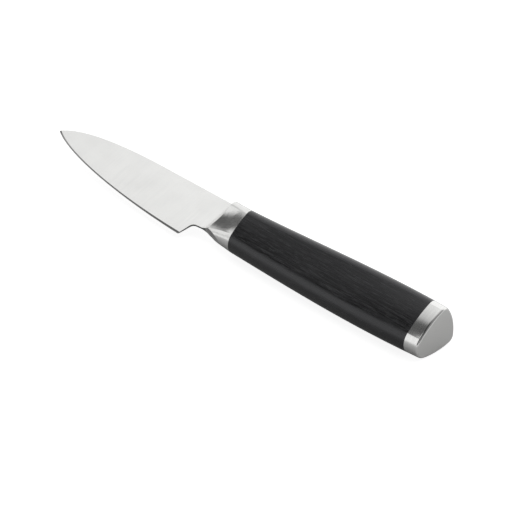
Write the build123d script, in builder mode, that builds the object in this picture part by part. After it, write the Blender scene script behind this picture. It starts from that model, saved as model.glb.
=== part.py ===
from build123d import *
import os
from math import cos, radians, sin, tan

# A forged paring knife with a three-sided hidden-tang handle, lying on one flank of that handle.
# The origin is the centre of the butt's flat face. +X runs from the tip to the butt and +Z is up.
# In the notes below, height is measured in the blade's plane towards the spine, and depth is
# measured square to that plane, towards the face that lies uppermost.

# Lengths along the knife
blade_length = 90.7
bolster_length = 12.0
handle_length = 90.8
cap_length = 5.75

# How far the blade's plane leans over its level position when the knife lies on its flank
rest_lean = 18.0

# Side outline of the blade
spine_height = 6.8
tip_height = -1.4
heel_height = -15.05
heel_setback = 9.6
spine_sweep_length = 52.5
spine_sweep_shares = (0.13, 0.70, 0.49)
edge_belly_shares = (0.135, 0.49, 0.555, 0.905)

# Finger notch behind the heel, cut straight across blade and bolster
notch_front_setback = 8.1
notch_height = -8.45
notch_rise = 0.65
notch_rear_setback = 0.35
notch_run_out = 11.9
notch_drop = 3.4
notch_front_radius = 2.1
notch_rear_radius = 10.0

# Grinds: half thickness at the spine by the bolster, behind the heel and at the tip
spine_half_thickness = 0.85
heel_half_thickness = 0.25
tip_half_thickness = 0.25
bevel_angle = 18.0

# Neck, where a wheel's radius carries the blade's face out to the bolster's full width
neck_foot_setback = 1.5
neck_slope = 80.0
neck_radius = 8.5

# Bolster section at the shoulder, from which straight flanks run back to the wood
shoulder_corner_height = 4.75
shoulder_corner_half_width = 7.45
shoulder_crown_bow = 2.15
shoulder_corner_radius = 2.2
shoulder_belly_height = -9.4
shoulder_belly_radius = 2.35
shoulder_belly_wrap = 84.0

# Handle section: a crown under the spine, two bowed flanks and a rounded belly
crown_bow = 2.0
corner_radius = 2.9
belly_radius = 5.4
seam_corner_height = 4.25
seam_corner_half_width = 8.35
seam_belly_height = -10.15
seam_belly_wrap = 66.0
fore_setback = 30.3
fore_corner_height = 5.45
fore_corner_half_width = 9.05
fore_belly_height = -10.95
fore_belly_wrap = 71.0
rear_setback = 60.5
rear_corner_height = 6.9
rear_corner_half_width = 9.2
rear_belly_height = -11.05
rear_belly_wrap = 70.0
butt_corner_height = 7.5
butt_corner_half_width = 8.5
butt_belly_height = -9.6
butt_belly_wrap = 61.0
butt_edge_radius = 0.9

# Tang, bore and fastening, all on one axis inside the handle
tang_axis_height = -1.5
tenon_height = 11.0
tenon_thickness = 7.0
tenon_depth = 3.0
tenon_corner_radius = 1.5
tang_length = 48.0
tang_root_height = 8.0
tang_root_thickness = 3.2
tang_end_height = 5.0
tang_end_thickness = 2.8
bore_diameter = 9.2
rod_diameter = 4.0
spigot_length = 4.0
cap_wall = 2.2
rod_end_gap = 0.5
fit_clearance = 0.05

# Space that every cutting shape keeps beyond the knife
overrun = 5.0

seam_x = -handle_length
cap_seam_x = -cap_length
shoulder_x = seam_x - bolster_length
heel_x = shoulder_x - heel_setback
tip_x = shoulder_x - blade_length

up_spine = (0, cos(radians(rest_lean)), sin(radians(rest_lean)))
off_blade = (0, -sin(radians(rest_lean)), cos(radians(rest_lean)))
blade_plane = Plane(origin=(0, 0, 0), x_dir=(1, 0, 0), z_dir=off_blade)


def station(x, height=0):
    """Plane square to the knife, its own X towards the spine and its own Y off the blade."""
    centre = blade_plane.from_local_coords((x, height, 0))
    return Plane(origin=centre, x_dir=up_spine, z_dir=(1, 0, 0))


def rounded_triangle(x, corner_height, half_width, belly_height, bow, corner, belly, wrap):
    """Three-sided section: a crown arc, two bowed flanks tangent to the belly, soft corners."""
    start_height = belly_height + belly * (1 - cos(radians(wrap)))
    start_half_width = belly * sin(radians(wrap))
    with BuildSketch(station(x)) as section:
        with BuildLine():
            ThreePointArc(
                (start_height, start_half_width), (belly_height, 0), (start_height, -start_half_width)
            )
            for side in (1, -1):
                TangentArc(
                    (start_height, side * start_half_width),
                    (corner_height, side * half_width),
                    tangent=(sin(radians(wrap)), side * cos(radians(wrap))),
                )
            ThreePointArc(
                (corner_height, half_width), (corner_height + bow, 0), (corner_height, -half_width)
            )
        make_face()
        fillet(section.vertices().group_by(Axis.X)[-1], corner)
    return section.sketch


def handle_section(x, corner_height, half_width, belly_height, belly_wrap):
    """Section of the wood and of the steel that is ground flush with it."""
    return rounded_triangle(
        x, corner_height, half_width, belly_height, crown_bow, corner_radius, belly_radius, belly_wrap
    )


# Handle form: the smooth body that wood and cap are both cut from, so that they lie flush
seam_section = handle_section(
    seam_x, seam_corner_height, seam_corner_half_width, seam_belly_height, seam_belly_wrap
)
fore_section = handle_section(
    seam_x + fore_setback, fore_corner_height, fore_corner_half_width, fore_belly_height, fore_belly_wrap
)
rear_section = handle_section(
    seam_x + rear_setback, rear_corner_height, rear_corner_half_width, rear_belly_height, rear_belly_wrap
)
butt_section = handle_section(
    0, butt_corner_height, butt_corner_half_width, butt_belly_height, butt_belly_wrap
)
with BuildPart() as handle_form:
    loft(sections=[seam_section, fore_section, rear_section, butt_section])

# Everything above the cutting edge: its two lower faces meet on the edge at the bevel angle
plate_reach = spine_half_thickness + overrun
bevel_rise = plate_reach / tan(radians(bevel_angle))
tip = (tip_x, tip_height)
heel = (heel_x, heel_height)
edge_length = heel_x - tip_x
edge_drop = heel_height - tip_height
edge_pulls = [
    (tip_x + edge_belly_shares[0] * edge_length, tip_height + edge_belly_shares[1] * edge_drop),
    (tip_x + edge_belly_shares[2] * edge_length, tip_height + edge_belly_shares[3] * edge_drop),
]
top_height = spine_height + overrun
with BuildPart() as edge_wedge:
    with BuildSketch(blade_plane):
        with BuildLine():
            edge_curve = Bezier(tip, *edge_pulls, heel)
            past_heel = edge_curve @ 1 + (edge_curve % 1) * (heel_setback + overrun)
            past_tip = edge_curve @ 0 - (edge_curve % 0) * overrun
            Polyline(
                edge_curve @ 1, past_heel, (past_heel.X, top_height), (past_tip.X, top_height),
                past_tip, edge_curve @ 0,
            )
        make_face()
    bevel_direction = Vector(off_blade) * plate_reach + Vector(up_spine) * bevel_rise
    extrude(amount=bevel_direction.length, dir=bevel_direction)
    mirror(about=blade_plane)


def side_face(side):
    """Plane of one ground face of the blade, facing outwards on the given side."""
    spine, edge, point = (
        blade_plane.from_local_coords((x, height, side * half_thickness))
        for x, height, half_thickness in (
            (shoulder_x, spine_height, spine_half_thickness),
            (heel_x, heel_height, heel_half_thickness),
            (tip_x, tip_height, tip_half_thickness),
        )
    )
    return Plane(origin=spine, z_dir=(point - spine).cross(edge - spine) * side)


# Blade plate: two flat faces that close in towards the edge and towards the tip
with BuildPart() as blade_plate:
    with BuildSketch(blade_plane):
        with BuildLine():
            Polyline(
                (tip_x - overrun, top_height), (shoulder_x, top_height),
                (shoulder_x, heel_height - overrun), (tip_x - overrun, heel_height - overrun), close=True,
            )
        make_face()
    extrude(amount=plate_reach, both=True)
    for side in (1, -1):
        split(bisect_by=side_face(side), keep=Keep.BOTTOM)
    add(edge_wedge.part, mode=Mode.INTERSECT)

# Bolster: a flared three-sided body, hollowed at the front by a wheel's radius on either side
shoulder_section = rounded_triangle(
    shoulder_x, shoulder_corner_height, shoulder_corner_half_width, shoulder_belly_height,
    shoulder_crown_bow, shoulder_corner_radius, shoulder_belly_radius, shoulder_belly_wrap,
)
neck_foot_x = shoulder_x + neck_foot_setback
neck_front_x = neck_foot_x - neck_radius - overrun
neck_reach = seam_corner_half_width + overrun
neck_back_x = neck_foot_x + (neck_reach - heel_half_thickness) / tan(radians(neck_slope))
with BuildPart() as bolster:
    loft(sections=[shoulder_section, seam_section])
    extrude(shoulder_section, amount=neck_front_x - shoulder_x)
    with BuildSketch(Plane(origin=blade_plane.origin, x_dir=(1, 0, 0), z_dir=up_spine)):
        with BuildLine():
            far_side = FilletPolyline(
                (neck_front_x, -heel_half_thickness),
                (neck_foot_x, -heel_half_thickness),
                (neck_back_x, -neck_reach),
                (seam_x, -neck_reach),
                radius=(neck_radius, 0),
            )
            near_side = mirror(far_side, about=Plane.XZ)
            Line(far_side @ 0, near_side @ 0)
            Line(far_side @ 1, near_side @ 1)
        make_face()
    extrude(amount=spine_height - heel_height, both=True, mode=Mode.INTERSECT)

# Side outline: swept spine, bellied edge, upright heel and finger notch, open behind the shoulder
notch_floor = (shoulder_x - notch_rear_setback, notch_height + notch_rise)
notch_end_x = notch_floor[0] + notch_run_out
sweep_end = (tip_x + spine_sweep_length, spine_height)
sweep_rise = spine_height - tip_height
spine_pulls = [
    (tip_x + spine_sweep_shares[0] * spine_sweep_length, tip_height + spine_sweep_shares[1] * sweep_rise),
    (tip_x + spine_sweep_shares[2] * spine_sweep_length, spine_height),
]

# Blade: one forging that runs from the point through the bolster to the end of its tang
with BuildPart() as blade:
    add(bolster.part)
    add(blade_plate.part)
    with BuildSketch(blade_plane):
        with BuildLine():
            Bezier(tip, *spine_pulls, sweep_end)
            Polyline(
                sweep_end, (shoulder_x, spine_height), (seam_x, top_height), (seam_x, heel_height),
                (notch_end_x, heel_height),
            )
            FilletPolyline(
                (notch_end_x, heel_height),
                (notch_end_x, notch_floor[1] - notch_drop),
                notch_floor,
                (shoulder_x - notch_front_setback, notch_height),
                heel,
                radius=(0, notch_rear_radius, notch_front_radius),
            )
            Bezier(heel, *edge_pulls[::-1], tip)
        make_face()
    extrude(amount=seam_corner_half_width + overrun, both=True, mode=Mode.INTERSECT)
    with BuildSketch(station(seam_x, tang_axis_height)):
        RectangleRounded(tenon_height, tenon_thickness, tenon_corner_radius)
    extrude(amount=tenon_depth)
    with BuildSketch(station(seam_x + tenon_depth, tang_axis_height)) as tang_root:
        Rectangle(tang_root_height, tang_root_thickness)
    with BuildSketch(station(seam_x + tang_length, tang_axis_height)) as tang_end:
        Rectangle(tang_end_height, tang_end_thickness)
    loft(sections=[tang_root.sketch, tang_end.sketch])
blade.part.label = "blade"

# Rod: butt-welded to the tang's end and screwed into the cap
spigot_x = cap_seam_x - spigot_length
socket_x = -cap_wall
with BuildPart() as tang_rod:
    with BuildSketch(station(seam_x + tang_length, tang_axis_height)):
        Circle(rod_diameter / 2)
    extrude(amount=socket_x - rod_end_gap - (seam_x + tang_length))
tang_rod.part.label = "tang_rod"

# Handle sleeve: one block of laminated black wood, bored through and recessed for the tenon
with BuildPart() as handle_sleeve:
    add(handle_form.part)
    split(bisect_by=station(cap_seam_x), keep=Keep.BOTTOM)
    with BuildSketch(station(seam_x, tang_axis_height)):
        Circle(bore_diameter / 2)
    extrude(amount=handle_length, mode=Mode.SUBTRACT)
    with BuildSketch(station(seam_x, tang_axis_height)):
        RectangleRounded(
            tenon_height + 2 * fit_clearance,
            tenon_thickness + 2 * fit_clearance,
            tenon_corner_radius + fit_clearance,
        )
    extrude(amount=tenon_depth + fit_clearance, mode=Mode.SUBTRACT)
handle_sleeve.part.label = "handle_sleeve"

# Bedding: resin poured round the tang, cured hard between tenon and cap
with BuildPart() as tang_bedding:
    with BuildSketch(station(seam_x + tenon_depth + fit_clearance, tang_axis_height)):
        Circle(bore_diameter / 2)
    extrude(amount=spigot_x - (seam_x + tenon_depth + fit_clearance))
    add(blade.part, mode=Mode.SUBTRACT)
    add(tang_rod.part, mode=Mode.SUBTRACT)
tang_bedding.part.label = "tang_bedding"

# End cap: steel, with a spigot in the wood's bore and a blind socket for the rod
with BuildPart() as end_cap:
    add(handle_form.part)
    split(bisect_by=station(cap_seam_x), keep=Keep.TOP)
    fillet(end_cap.faces().sort_by(Axis.X)[-1].edges(), butt_edge_radius)
    with BuildSketch(station(spigot_x, tang_axis_height)):
        Circle(bore_diameter / 2 - fit_clearance)
    extrude(amount=spigot_length)
    with BuildSketch(station(spigot_x, tang_axis_height)):
        Circle(rod_diameter / 2)
    extrude(amount=socket_x - spigot_x, mode=Mode.SUBTRACT)
end_cap.part.label = "end_cap"

os.makedirs("parts", exist_ok=True)
for piece in (blade, tang_rod, handle_sleeve, tang_bedding, end_cap):
    export_step(piece.part, f"parts/{piece.part.label}.step")
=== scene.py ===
import bpy
from math import cos, radians, sin
from mathutils import Matrix, Vector


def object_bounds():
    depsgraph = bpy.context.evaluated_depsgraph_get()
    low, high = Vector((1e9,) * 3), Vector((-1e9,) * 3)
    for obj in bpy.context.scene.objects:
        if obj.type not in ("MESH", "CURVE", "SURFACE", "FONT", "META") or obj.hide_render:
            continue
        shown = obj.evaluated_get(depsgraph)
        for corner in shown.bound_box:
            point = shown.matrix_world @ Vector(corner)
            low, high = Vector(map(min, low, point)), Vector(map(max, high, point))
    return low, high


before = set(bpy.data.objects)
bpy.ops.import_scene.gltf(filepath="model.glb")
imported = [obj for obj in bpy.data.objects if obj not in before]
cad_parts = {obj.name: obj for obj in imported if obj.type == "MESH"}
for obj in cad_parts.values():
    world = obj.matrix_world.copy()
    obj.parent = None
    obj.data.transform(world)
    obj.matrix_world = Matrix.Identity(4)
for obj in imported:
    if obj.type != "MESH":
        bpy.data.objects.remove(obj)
cad_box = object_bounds()

# Camera: a long lens a little under 0.8 m away, behind the butt and above the knife, rolled as the
# photograph is. The knife lies on one flank of its handle, so its blade leans over. Places on it are
# given along it from the butt, then up towards the spine, then square off the blade's upper face.
REST_LEAN = radians(18.0)
ALONG = Vector((1, 0, 0))
UP_SPINE = Vector((0, cos(REST_LEAN), sin(REST_LEAN)))
OFF_BLADE = Vector((0, -sin(REST_LEAN), cos(REST_LEAN)))


def on_knife(along, up_spine, off_blade):
    """A place or direction given on the knife, in the frame's own axes."""
    return along * ALONG + up_spine * UP_SPINE + off_blade * OFF_BLADE


CAMERA_PLACE = on_knife(0.3820, -0.3321, 0.5507)
CAMERA_RIGHT = on_knife(0.707, 0.682, -0.189).normalized()
CAMERA_BACK = on_knife(0.585, -0.412, 0.698).normalized()
LENS_MM = 154.4
SENSOR_MM = 36.0
NEAREST_SEEN = 0.05

camera_up = CAMERA_BACK.cross(CAMERA_RIGHT).normalized()
camera_right = camera_up.cross(CAMERA_BACK)
camera = bpy.data.objects.new("camera", bpy.data.cameras.new("camera"))
camera.data.lens = LENS_MM
camera.data.sensor_width = SENSOR_MM
camera.data.clip_start = NEAREST_SEEN
camera.matrix_world = Matrix.Translation(CAMERA_PLACE) @ Matrix(
    (camera_right, camera_up, CAMERA_BACK)
).transposed().to_4x4()
bpy.context.scene.collection.objects.link(camera)
bpy.context.scene.camera = camera
bpy.context.scene.view_settings.view_transform = "Standard"

# Studio: a soft tent stands behind the knife and reaches over it, dimmer towards its front hem and
# on its butt side. A white card stands low in front, another past the tip and a grey one past the
# butt, and the dim room shows in the gaps.
TENT_LEVEL = 1.23
HEM_LEVEL = 0.66
GAP_LEVEL = 0.1
BUTT_SIDE_LEVEL = 0.3
TIP_SIDE_LEVEL = 0.87
SEEN_LEVEL = 1.0

# Where each change of light begins and ends, in X or Y of the direction looked at. The change to
# the butt side goes by X together with a share of Y.
TENT_SHADE_Y = (-0.26, 0.18)
HEM_Y = (-0.365, -0.25)
BUTT_SIDE_X = (0.1, 0.7)
BUTT_SIDE_Y_SHARE = -0.8
TIP_SIDE_X = (-0.59, -0.69)

# Each is where it comes in along X and along Y of the direction looked at, and how bright it is.
FRONT_CARD = ((0.1, -0.2), (-0.54, -0.67), 1.08)
BUTT_CARD = ((0.52, 0.62), (-0.43, -0.48), 0.5)
TIP_GAP = ((-0.84, -0.88), (0.22, 0.1), 0.12)
TIP_CARD = ((-0.74, -0.82), (-0.12, -0.24), 1.0)


def linear(hex_colour):
    """Linear RGBA of an sRGB hex colour."""
    channels = [int(hex_colour[i:i + 2], 16) / 255 for i in (1, 3, 5)]
    return tuple(c / 12.92 if c <= 0.04045 else ((c + 0.055) / 1.055) ** 2.4 for c in channels) + (1.0,)


def add(tree, kind, inputs=None, **settings):
    """Adds a node; an input is a value, or an output socket to link from."""
    node = tree.nodes.new(kind)
    for name, value in settings.items():
        setattr(node, name, value)
    for name, value in (inputs or {}).items():
        if isinstance(value, bpy.types.NodeSocket):
            tree.links.new(value, node.inputs[name])
        else:
            node.inputs[name].default_value = value
    return node


world = bpy.data.worlds.new("studio")
bpy.context.scene.world = world
world.use_nodes = True
tree = world.node_tree
tree.nodes.clear()
ray = add(tree, "ShaderNodeLightPath")
place = add(tree, "ShaderNodeTexCoord")
axes = add(tree, "ShaderNodeSeparateXYZ", {0: place.outputs["Generated"]})
tent_shade = add(
    tree, "ShaderNodeMapRange",
    {"Value": axes.outputs["Y"], "From Min": TENT_SHADE_Y[0], "From Max": TENT_SHADE_Y[1],
     "To Min": HEM_LEVEL, "To Max": TENT_LEVEL},
)
hem = add(
    tree, "ShaderNodeMapRange",
    {"Value": axes.outputs["Y"], "From Min": HEM_Y[0], "From Max": HEM_Y[1]},
    interpolation_type="SMOOTHSTEP",
)
tent = add(
    tree, "ShaderNodeMix",
    {"Factor": hem.outputs[0], "A": GAP_LEVEL, "B": tent_shade.outputs[0]}, data_type="FLOAT",
)
towards_butt = add(
    tree, "ShaderNodeMath",
    {0: axes.outputs["Y"], 1: BUTT_SIDE_Y_SHARE, 2: axes.outputs["X"]}, operation="MULTIPLY_ADD",
)
butt_side = add(
    tree, "ShaderNodeMapRange",
    {"Value": towards_butt.outputs[0], "From Min": BUTT_SIDE_X[0], "From Max": BUTT_SIDE_X[1],
     "To Min": 1.0, "To Max": BUTT_SIDE_LEVEL},
    interpolation_type="SMOOTHSTEP",
)
tip_side = add(
    tree, "ShaderNodeMapRange",
    {"Value": axes.outputs["X"], "From Min": TIP_SIDE_X[0], "From Max": TIP_SIDE_X[1],
     "To Min": 1.0, "To Max": TIP_SIDE_LEVEL},
    interpolation_type="SMOOTHSTEP",
)
studio = tent
for side in (butt_side, tip_side):
    studio = add(tree, "ShaderNodeMath", {0: studio.outputs[0], 1: side.outputs[0]}, operation="MULTIPLY")
for x_edge, y_edge, level in (FRONT_CARD, BUTT_CARD, TIP_GAP, TIP_CARD):
    from_x = add(
        tree, "ShaderNodeMapRange",
        {"Value": axes.outputs["X"], "From Min": x_edge[0], "From Max": x_edge[1]},
        interpolation_type="SMOOTHSTEP",
    )
    from_y = add(
        tree, "ShaderNodeMapRange",
        {"Value": axes.outputs["Y"], "From Min": y_edge[0], "From Max": y_edge[1]},
        interpolation_type="SMOOTHSTEP",
    )
    patch = add(tree, "ShaderNodeMath", {0: from_x.outputs[0], 1: from_y.outputs[0]}, operation="MULTIPLY")
    studio = add(
        tree, "ShaderNodeMix", {"Factor": patch.outputs[0], "A": studio.outputs[0], "B": level},
        data_type="FLOAT",
    )
seen = add(
    tree, "ShaderNodeMix",
    {"Factor": ray.outputs["Is Camera Ray"], "A": studio.outputs[0], "B": SEEN_LEVEL}, data_type="FLOAT",
)
light = add(tree, "ShaderNodeBackground", {"Color": linear("#FFFFFF"), "Strength": seen.outputs[0]})
add(tree, "ShaderNodeOutputWorld", {"Surface": light.outputs[0]})

# Floor: a sheet of pale grey paper. A glow that only the camera sees in full makes the background
# white, reflections and glass get part of it, and its lit share keeps the knife's soft shadow.
FLOOR_HALF = 4.0
PAPER_COLOUR = "#A6A6A6"
GLOW_SEEN = 0.87

# The reflected part is painted light on the paper, dimmer near the knife as a painted shadow of it. It
# grows with the distance from the knife's middle line or past either end, of which only a share
# counts, and it starts higher past the ends, over a short span.
GLOW_NEAR = 0.02
GLOW_FAR = 0.55
FAR_FROM_KNIFE = 0.04
BESIDE_SHARE = 0.5
PAST_END_SHARE = 0.68
END_LIFT = 0.0115
END_LIFT_SPAN = 0.002

paper = bpy.data.materials.new("pale_grey_paper")
paper.use_nodes = True
tree = paper.node_tree
tree.nodes.clear()
ray = add(tree, "ShaderNodeLightPath")
reflected = add(
    tree, "ShaderNodeMath",
    {0: ray.outputs["Is Glossy Ray"], 1: ray.outputs["Is Transmission Ray"]}, operation="MAXIMUM",
)
place = add(tree, "ShaderNodeTexCoord")
axes = add(tree, "ShaderNodeSeparateXYZ", {0: place.outputs["Object"]})
middle = (cad_box[0] + cad_box[1]) / 2
past_middle = add(tree, "ShaderNodeMath", {0: axes.outputs["X"], 1: -middle.x}, operation="ADD")
past_middle = add(tree, "ShaderNodeMath", {0: past_middle.outputs[0]}, operation="ABSOLUTE")
past_end = add(tree, "ShaderNodeMath", {0: past_middle.outputs[0], 1: middle.x}, operation="ADD")
at_end = add(
    tree, "ShaderNodeMapRange",
    {"Value": past_end.outputs[0], "From Min": -END_LIFT_SPAN, "From Max": END_LIFT_SPAN,
     "To Max": END_LIFT},
    interpolation_type="SMOOTHSTEP",
)
past_end = add(
    tree, "ShaderNodeMath", {0: past_end.outputs[0], 1: PAST_END_SHARE}, operation="MULTIPLY"
)
past_end = add(tree, "ShaderNodeMath", {0: past_end.outputs[0], 1: at_end.outputs[0]}, operation="MAXIMUM")
beside = add(tree, "ShaderNodeMath", {0: axes.outputs["Y"], 1: BESIDE_SHARE}, operation="MULTIPLY")
beside = add(tree, "ShaderNodeMath", {0: beside.outputs[0]}, operation="ABSOLUTE")
away = add(tree, "ShaderNodeMath", {0: beside.outputs[0], 1: past_end.outputs[0]}, operation="MAXIMUM")
# Painted shadow: the glow that reflections see is dimmer near the knife, for its shadow on the paper.
reflected_glow_and_painted_shadow = add(
    tree, "ShaderNodeMapRange",
    {"Value": away.outputs[0], "From Max": FAR_FROM_KNIFE, "To Min": GLOW_NEAR, "To Max": GLOW_FAR},
)
reflected_glow_and_painted_shadow = add(
    tree, "ShaderNodeMath", {0: reflected.outputs[0], 1: reflected_glow_and_painted_shadow.outputs[0]}, operation="MULTIPLY"
)
glow = add(
    tree, "ShaderNodeMath",
    {0: ray.outputs["Is Camera Ray"], 1: GLOW_SEEN, 2: reflected_glow_and_painted_shadow.outputs[0]},
    operation="MULTIPLY_ADD",
)
matt = add(tree, "ShaderNodeBsdfDiffuse", {"Color": linear(PAPER_COLOUR)})
lit = add(tree, "ShaderNodeEmission", {"Color": linear("#FFFFFF"), "Strength": glow.outputs[0]})
both = add(tree, "ShaderNodeAddShader", {0: matt.outputs[0], 1: lit.outputs[0]})
add(tree, "ShaderNodeOutputMaterial", {"Surface": both.outputs[0]})
floor_mesh = bpy.data.meshes.new("floor")
floor_mesh.from_pydata(
    [(x * FLOOR_HALF, y * FLOOR_HALF, cad_box[0].z) for x, y in ((-1, -1), (1, -1), (1, 1), (-1, 1))],
    [], [(0, 1, 2, 3)],
)
floor_mesh.materials.append(paper)
floor = bpy.data.objects.new("floor", floor_mesh)
bpy.context.scene.collection.objects.link(floor)

# Blade: one forging with its bolster and tang, in hardened stainless steel. The flat faces are
# ground square across their length and left satin, the bevel is stoned finer, and the bolster is
# brushed along its length. The bevel's darker steel is painted shade, for the dark reflection along
# the edge. The real lines are under 0.1 mm wide, so these are drawn coarser to show.
GRIND_LINE_MM = (0.6, 60.0, 60.0)
BRUSH_LINE_MM = (9.0, 0.18, 0.18)
UNEVEN_MM = 9.0
UNEVEN_SHARE = 0.5
LINE_SPAN = (0.3, 0.7)
SATIN_STEEL = ("#D2D2D1", "#EAEAE8")
# Painted shade: the bevel's steel is drawn darker than the faces, for the dark reflection along the edge.
BEVEL_PAINTED_SHADE = "#9C9C9B"
GROUND_ROUGHNESS = (0.2, 0.28)
FINER_ROUGHNESS = (0.08, 0.14)
LINE_DEPTH = 0.00004
LINE_RELIEF = 0.12

# The bolster begins between these two places along the knife, and the bevel is what turns this far
# down from the blade's face.
BOLSTER_X = (-0.1053, -0.1043)
BEVEL_TURN = (-0.1, -0.24)


def new_surface(name, metallic):
    """A material with its node tree and its shader."""
    material = bpy.data.materials.new(name)
    material.use_nodes = True
    shader = material.node_tree.nodes["Principled BSDF"]
    shader.inputs["Metallic"].default_value = metallic
    return material, material.node_tree, shader


def dress(node_name, material, tone, gloss, relief):
    """Links the finished surface to the shader, and gives it to the CAD node as its only slot."""
    shader = material.node_tree.nodes["Principled BSDF"]
    for source, name in ((tone.outputs[2], "Base Color"), (gloss.outputs[0], "Roughness"),
                         (relief.outputs[0], "Normal")):
        material.node_tree.links.new(source, shader.inputs[name])
    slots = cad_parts[node_name].data.materials
    slots.clear()
    slots.append(material)


steel, tree, shader = new_surface("ground_stainless_steel", 1.0)
place = add(tree, "ShaderNodeTexCoord")
on_steel = add(
    tree, "ShaderNodeMapping", {"Vector": place.outputs["Object"], "Rotation": (-REST_LEAN, 0, 0)}
)
facing = add(
    tree, "ShaderNodeMapping", {"Vector": place.outputs["Normal"], "Rotation": (-REST_LEAN, 0, 0)}
)
at = add(tree, "ShaderNodeSeparateXYZ", {0: on_steel.outputs[0]})
turned = add(tree, "ShaderNodeSeparateXYZ", {0: facing.outputs[0]})
bolster = add(
    tree, "ShaderNodeMapRange",
    {"Value": at.outputs["X"], "From Min": BOLSTER_X[0], "From Max": BOLSTER_X[1]},
    interpolation_type="SMOOTHSTEP",
)
across = add(
    tree, "ShaderNodeMapping",
    {"Vector": on_steel.outputs[0], "Scale": [1000 / size for size in GRIND_LINE_MM]},
)
along = add(
    tree, "ShaderNodeMapping",
    {"Vector": on_steel.outputs[0], "Scale": [1000 / size for size in BRUSH_LINE_MM]},
)
grind = add(
    tree, "ShaderNodeTexNoise", {"Vector": across.outputs[0], "Scale": 1.0, "Detail": 4.0, "Roughness": 0.7}
)
brush = add(
    tree, "ShaderNodeTexNoise", {"Vector": along.outputs[0], "Scale": 1.0, "Detail": 3.0, "Roughness": 0.6}
)
lines = add(
    tree, "ShaderNodeMix",
    {"Factor": bolster.outputs[0], "A": grind.outputs[0], "B": brush.outputs[0]},
    data_type="FLOAT",
)
uneven = add(
    tree, "ShaderNodeTexNoise",
    {"Vector": on_steel.outputs[0], "Scale": 1000 / UNEVEN_MM, "Detail": 2.0, "Roughness": 0.5},
)
worn = add(
    tree, "ShaderNodeMath",
    {0: uneven.outputs[0], 1: UNEVEN_SHARE, 2: lines.outputs[0]}, operation="MULTIPLY_ADD",
)
worn = add(
    tree, "ShaderNodeMath", {0: worn.outputs[0], 1: UNEVEN_SHARE / 2}, operation="SUBTRACT", use_clamp=True
)
tone = add(
    tree, "ShaderNodeMix",
    {"Factor": worn.outputs[0], "A": linear(SATIN_STEEL[0]), "B": linear(SATIN_STEEL[1])},
    data_type="RGBA",
)
to_edge = add(
    tree, "ShaderNodeMapRange",
    {"Value": turned.outputs["Y"], "From Min": BEVEL_TURN[0], "From Max": BEVEL_TURN[1]},
    interpolation_type="SMOOTHSTEP",
)
# The bevel: its finer finish is real, and its darker steel is painted shade.
bevel_stoned_and_painted_shade = add(
    tree, "ShaderNodeMath", {0: to_edge.outputs[0], 1: bolster.outputs[0]}, operation="SUBTRACT",
    use_clamp=True,
)
tone = add(
    tree, "ShaderNodeMix",
    {"Factor": bevel_stoned_and_painted_shade.outputs[0], "A": tone.outputs[2], "B": linear(BEVEL_PAINTED_SHADE)}, data_type="RGBA",
)
finer = add(
    tree, "ShaderNodeMath", {0: bolster.outputs[0], 1: bevel_stoned_and_painted_shade.outputs[0]}, operation="MAXIMUM"
)
ground_gloss, finer_gloss = (
    add(
        tree, "ShaderNodeMapRange",
        {"Value": lines.outputs[0], "From Min": LINE_SPAN[0], "From Max": LINE_SPAN[1],
         "To Min": smooth, "To Max": rough},
    )
    for smooth, rough in (GROUND_ROUGHNESS, FINER_ROUGHNESS)
)
gloss = add(
    tree, "ShaderNodeMix",
    {"Factor": finer.outputs[0], "A": ground_gloss.outputs[0], "B": finer_gloss.outputs[0]},
    data_type="FLOAT",
)
relief = add(
    tree, "ShaderNodeBump", {"Height": lines.outputs[0], "Strength": LINE_RELIEF, "Distance": LINE_DEPTH}
)
dress("blade", steel, tone, gloss, relief)

# Handle: one block of black laminated wood, pressed with resin, sanded along its grain and oiled.
# Fine fibres and short open pores run along it. Real fibres are under 0.1 mm wide, so they are
# drawn as coarser bundles that show, while the pores have about their real width.
FIBRE_MM = (11.0, 0.6, 0.6)
PORE_MM = (7.0, 0.13, 0.13)
FIBRE_SPAN = (0.36, 0.64)
PORE_SPAN = (0.64, 0.72)
FIBRE_BLACKS = ("#010101", "#171718")
PORE_GREY = "#2E2E30"
OIL_TINT = "#F1F3FA"
WOOD_IOR = 1.38
OIL_WEIGHT = 0.6
OIL_ROUGHNESS = 0.27
WOOD_ROUGHNESS = (0.2, 0.38)
PORE_DEPTH_SHARE = -0.8
GRAIN_DEPTH = 0.00004
GRAIN_RELIEF = 0.45

wood, tree, shader = new_surface("black_laminated_wood", 0.0)
shader.inputs["IOR"].default_value = WOOD_IOR
shader.inputs["Coat Weight"].default_value = OIL_WEIGHT
shader.inputs["Coat Roughness"].default_value = OIL_ROUGHNESS
shader.inputs["Specular Tint"].default_value = linear(OIL_TINT)
place = add(tree, "ShaderNodeTexCoord")
on_wood = add(
    tree, "ShaderNodeMapping", {"Vector": place.outputs["Object"], "Rotation": (-REST_LEAN, 0, 0)}
)
fibre_grid, pore_grid = (
    add(
        tree, "ShaderNodeMapping",
        {"Vector": on_wood.outputs[0], "Scale": [1000 / size for size in sizes_mm]},
    )
    for sizes_mm in (FIBRE_MM, PORE_MM)
)
fibre = add(
    tree, "ShaderNodeTexNoise",
    {"Vector": fibre_grid.outputs[0], "Scale": 1.0, "Detail": 4.0, "Roughness": 0.65},
)
pore = add(
    tree, "ShaderNodeTexNoise", {"Vector": pore_grid.outputs[0], "Scale": 1.0, "Detail": 1.0}
)
pressed = add(
    tree, "ShaderNodeMapRange",
    {"Value": fibre.outputs[0], "From Min": FIBRE_SPAN[0], "From Max": FIBRE_SPAN[1]},
    interpolation_type="SMOOTHSTEP",
)
open_pore = add(
    tree, "ShaderNodeMapRange",
    {"Value": pore.outputs[0], "From Min": PORE_SPAN[0], "From Max": PORE_SPAN[1]},
    interpolation_type="SMOOTHSTEP",
)
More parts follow.
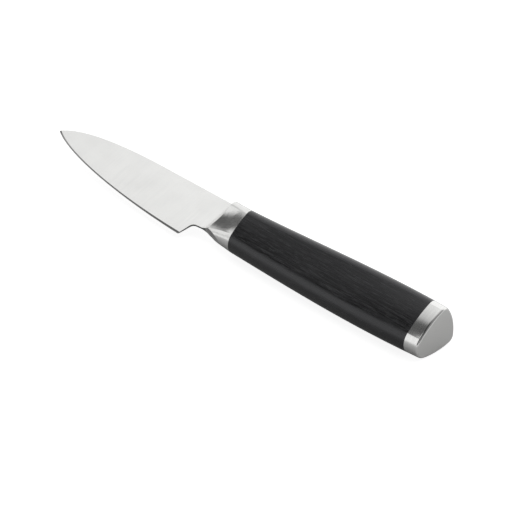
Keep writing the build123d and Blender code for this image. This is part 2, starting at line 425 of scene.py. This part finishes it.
tone = add(
    tree, "ShaderNodeMix",
    {"Factor": pressed.outputs[0], "A": linear(FIBRE_BLACKS[0]), "B": linear(FIBRE_BLACKS[1])},
    data_type="RGBA",
)
tone = add(
    tree, "ShaderNodeMix",
    {"Factor": open_pore.outputs[0], "A": tone.outputs[2], "B": linear(PORE_GREY)}, data_type="RGBA",
)
gloss = add(
    tree, "ShaderNodeMapRange",
    {"Value": pressed.outputs[0], "To Min": WOOD_ROUGHNESS[0], "To Max": WOOD_ROUGHNESS[1]},
)
depth = add(
    tree, "ShaderNodeMath",
    {0: open_pore.outputs[0], 1: PORE_DEPTH_SHARE, 2: fibre.outputs[0]}, operation="MULTIPLY_ADD",
)
relief = add(
    tree, "ShaderNodeBump", {"Height": depth.outputs[0], "Strength": GRAIN_RELIEF, "Distance": GRAIN_DEPTH}
)
tree.links.new(relief.outputs[0], shader.inputs["Coat Normal"])
dress("handle_sleeve", wood, tone, gloss, relief)

# End cap: stainless steel. Its sides are brushed round the handle to match the bolster, and its
# flat end is bead-blasted to an even dull grey inside the bright rounded rim. The lines and the
# blasted grain are drawn coarser than real, so that they show.
RING_LINE_MM = (0.16, 6.0, 6.0)
BLASTED_GRAIN_MM = 0.22
BLASTED_TURN = (0.955, 0.985)
CAP_STEEL = ("#D2D2D1", "#EAEAE8")
CAP_ROUGHNESS = (0.15, 0.48)
CAP_DEPTH = 0.00004
CAP_RELIEF = 0.15

cap_steel, tree, shader = new_surface("brushed_and_blasted_stainless_steel", 1.0)
place = add(tree, "ShaderNodeTexCoord")
turned = add(tree, "ShaderNodeSeparateXYZ", {0: place.outputs["Normal"]})
blasted = add(
    tree, "ShaderNodeMapRange",
    {"Value": turned.outputs["X"], "From Min": BLASTED_TURN[0], "From Max": BLASTED_TURN[1]},
    interpolation_type="SMOOTHSTEP",
)
ring_grid = add(
    tree, "ShaderNodeMapping",
    {"Vector": place.outputs["Object"], "Scale": [1000 / size for size in RING_LINE_MM]},
)
ring = add(
    tree, "ShaderNodeTexNoise", {"Vector": ring_grid.outputs[0], "Scale": 1.0, "Detail": 2.0}
)
grain = add(
    tree, "ShaderNodeTexNoise",
    {"Vector": place.outputs["Object"], "Scale": 1000 / BLASTED_GRAIN_MM, "Detail": 2.0,
     "Roughness": 0.6},
)
texture = add(
    tree, "ShaderNodeMix",
    {"Factor": blasted.outputs[0], "A": ring.outputs[0], "B": grain.outputs[0]},
    data_type="FLOAT",
)
tone = add(
    tree, "ShaderNodeMix",
    {"Factor": texture.outputs[0], "A": linear(CAP_STEEL[0]), "B": linear(CAP_STEEL[1])},
    data_type="RGBA",
)
gloss = add(
    tree, "ShaderNodeMapRange",
    {"Value": blasted.outputs[0], "To Min": CAP_ROUGHNESS[0], "To Max": CAP_ROUGHNESS[1]},
)
relief = add(
    tree, "ShaderNodeBump", {"Height": texture.outputs[0], "Strength": CAP_RELIEF, "Distance": CAP_DEPTH}
)
dress("end_cap", cap_steel, tone, gloss, relief)

# Tang rod: mild steel, drawn through a die, which leaves fine lines along it. It is welded to the
# tang and hidden in the handle, so nothing more is done to its dull grey surface. The lines are
# drawn coarser than real.
DRAWN_LINE_MM = (30.0, 0.25, 0.25)
ROD_GREYS = ("#9F9D99", "#C6C4C0")
ROD_ROUGHNESS = (0.32, 0.5)
ROD_DEPTH = 0.00004
ROD_RELIEF = 0.2

rod_steel, tree, shader = new_surface("drawn_mild_steel", 1.0)
place = add(tree, "ShaderNodeTexCoord")
on_rod = add(
    tree, "ShaderNodeMapping", {"Vector": place.outputs["Object"], "Rotation": (-REST_LEAN, 0, 0)}
)
drawn_grid = add(
    tree, "ShaderNodeMapping",
    {"Vector": on_rod.outputs[0], "Scale": [1000 / size for size in DRAWN_LINE_MM]},
)
drawn = add(
    tree, "ShaderNodeTexNoise", {"Vector": drawn_grid.outputs[0], "Scale": 1.0, "Detail": 3.0}
)
tone = add(
    tree, "ShaderNodeMix",
    {"Factor": drawn.outputs[0], "A": linear(ROD_GREYS[0]), "B": linear(ROD_GREYS[1])},
    data_type="RGBA",
)
gloss = add(
    tree, "ShaderNodeMapRange",
    {"Value": drawn.outputs[0], "To Min": ROD_ROUGHNESS[0], "To Max": ROD_ROUGHNESS[1]},
)
relief = add(
    tree, "ShaderNodeBump", {"Height": drawn.outputs[0], "Strength": ROD_RELIEF, "Distance": ROD_DEPTH}
)
dress("tang_rod", rod_steel, tone, gloss, relief)

# Tang bedding: epoxy resin with a mineral filler, poured round the tang and cured against the bore.
# The filler settled in clouds as it set, and small air bubbles were caught at its face.
CLOUD_MM = 6.0
BUBBLE_MM = 0.9
BUBBLE_SPAN = (0.68, 0.74)
RESIN_BROWNS = ("#574C3B", "#7F725B")
BUBBLE_BROWN = "#3F372A"
RESIN_ROUGHNESS = (0.42, 0.58)
BUBBLE_DEPTH = 0.0001
BUBBLE_RELIEF = 0.5

resin, tree, shader = new_surface("cured_epoxy_resin", 0.0)
place = add(tree, "ShaderNodeTexCoord")
cloud = add(
    tree, "ShaderNodeTexNoise",
    {"Vector": place.outputs["Object"], "Scale": 1000 / CLOUD_MM, "Detail": 3.0},
)
speck = add(
    tree, "ShaderNodeTexNoise",
    {"Vector": place.outputs["Object"], "Scale": 1000 / BUBBLE_MM, "Detail": 0.0},
)
bubble = add(
    tree, "ShaderNodeMapRange",
    {"Value": speck.outputs[0], "From Min": BUBBLE_SPAN[0], "From Max": BUBBLE_SPAN[1]},
    interpolation_type="SMOOTHSTEP",
)
tone = add(
    tree, "ShaderNodeMix",
    {"Factor": cloud.outputs[0], "A": linear(RESIN_BROWNS[0]), "B": linear(RESIN_BROWNS[1])},
    data_type="RGBA",
)
tone = add(
    tree, "ShaderNodeMix",
    {"Factor": bubble.outputs[0], "A": tone.outputs[2], "B": linear(BUBBLE_BROWN)}, data_type="RGBA",
)
gloss = add(
    tree, "ShaderNodeMapRange",
    {"Value": cloud.outputs[0], "To Min": RESIN_ROUGHNESS[0], "To Max": RESIN_ROUGHNESS[1]},
)
relief = add(
    tree, "ShaderNodeBump",
    {"Height": bubble.outputs[0], "Strength": BUBBLE_RELIEF, "Distance": BUBBLE_DEPTH}, invert=True,
)
dress("tang_bedding", resin, tone, gloss, relief)
